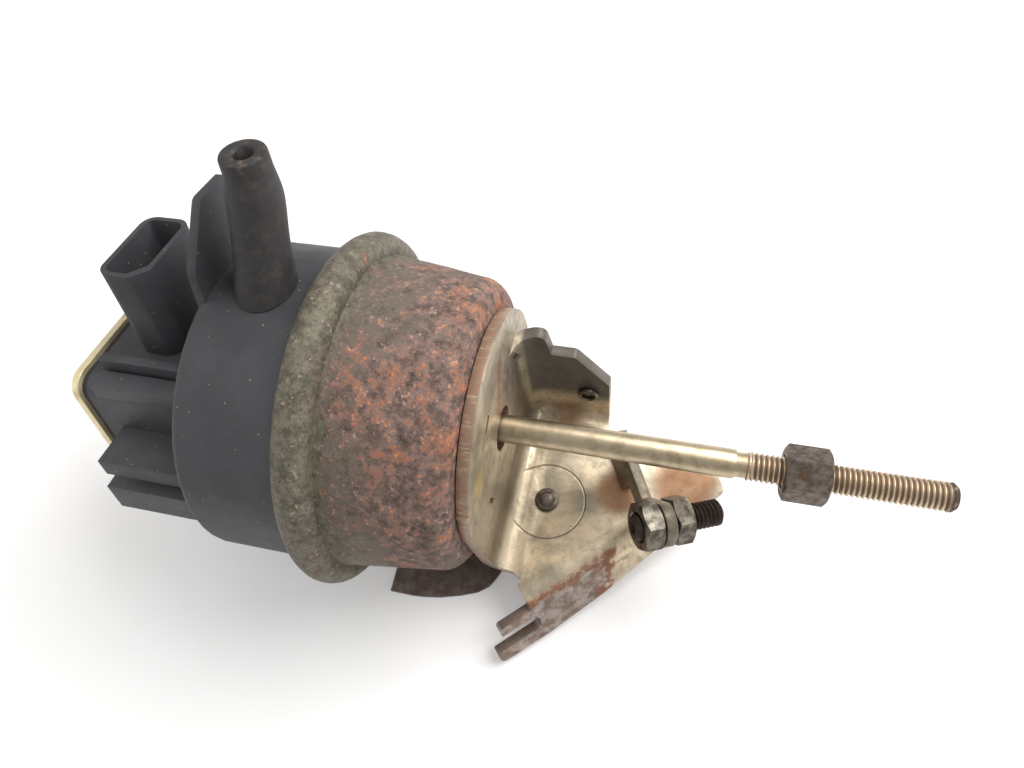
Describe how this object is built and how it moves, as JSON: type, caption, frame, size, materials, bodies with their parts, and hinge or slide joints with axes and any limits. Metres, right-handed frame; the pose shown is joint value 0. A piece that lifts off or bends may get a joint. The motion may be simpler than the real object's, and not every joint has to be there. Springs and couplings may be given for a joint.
{
  "type": "wastegate actuator",
  "caption": "Vacuum wastegate actuator: rusted can and plastic sensor housing on a slotted steel bracket, with a sprung threaded rod and a stop screw.",
  "frame": {"origin": "on the outer face of the slotted mounting flange, near its middle", "axes": "+X along the rod towards its threaded tip, +Z square to the bracket's floor on the rod's side, +Y away from the mounting flange"},
  "size_m": [0.1757, 0.081, 0.0946],
  "materials": {
    "charcoal_plastic": "matte moulded",
    "black_rubber": "dull",
    "yellow_zinc": "yellow zinc plated",
    "rusty_sheet": "rusted",
    "olive_zinc": "worn zinc plate with rust stains",
    "worn_steel": "satin, worn",
    "dark_steel": "dark, rusty",
    "tinned_brass": "tinned",
    "sintered_bronze": "dull",
    "green_board": "lacquered"
  },
  "bodies": {
    "housing": {"plastic_housing": "charcoal_plastic", "rear_cover": "yellow_zinc", "cover_gasket": "black_rubber", "vacuum_hose_end": "black_rubber", "terminal_1": "tinned_brass", "terminal_2": "tinned_brass", "terminal_3": "tinned_brass", "sensor_board": "green_board", "sensor_chip": "charcoal_plastic", "can_shell": "rusty_sheet", "diaphragm": "black_rubber", "return_spring": "worn_steel", "rod_guide": "sintered_bronze", "rod_seal": "black_rubber", "mounting_bracket": "olive_zinc", "tab_stud": "worn_steel", "floor_stud": "worn_steel", "under_shield": "olive_zinc", "stop_arm": "olive_zinc", "stop_screw": "dark_steel", "stop_nut_near": "worn_steel", "stop_nut_far": "worn_steel", "stop_washer": "worn_steel"},
    "rod": {"actuator_rod": "worn_steel", "piston_cup": "worn_steel", "clamp_plate": "worn_steel", "magnet_stem": "charcoal_plastic", "magnet": "worn_steel"},
    "lock_nut": {"rod_lock_nut": "dark_steel"}
  },
  "joints": [
    {"name": "rod_slide", "type": "slide", "parent": "housing", "child": "rod", "axis": [1, 0, 0], "range_m": [-0.012, 0], "stiffness_N_per_m": 3000, "springref_m": 0.008, "deforming": ["return_spring", "diaphragm"]},
    {"name": "lock_nut_turn", "type": "hinge", "parent": "rod", "child": "lock_nut", "pos_m": [0.03476, 0.01758, 0.031], "axis": [1, 0, 0], "continuous": true}
  ]
}
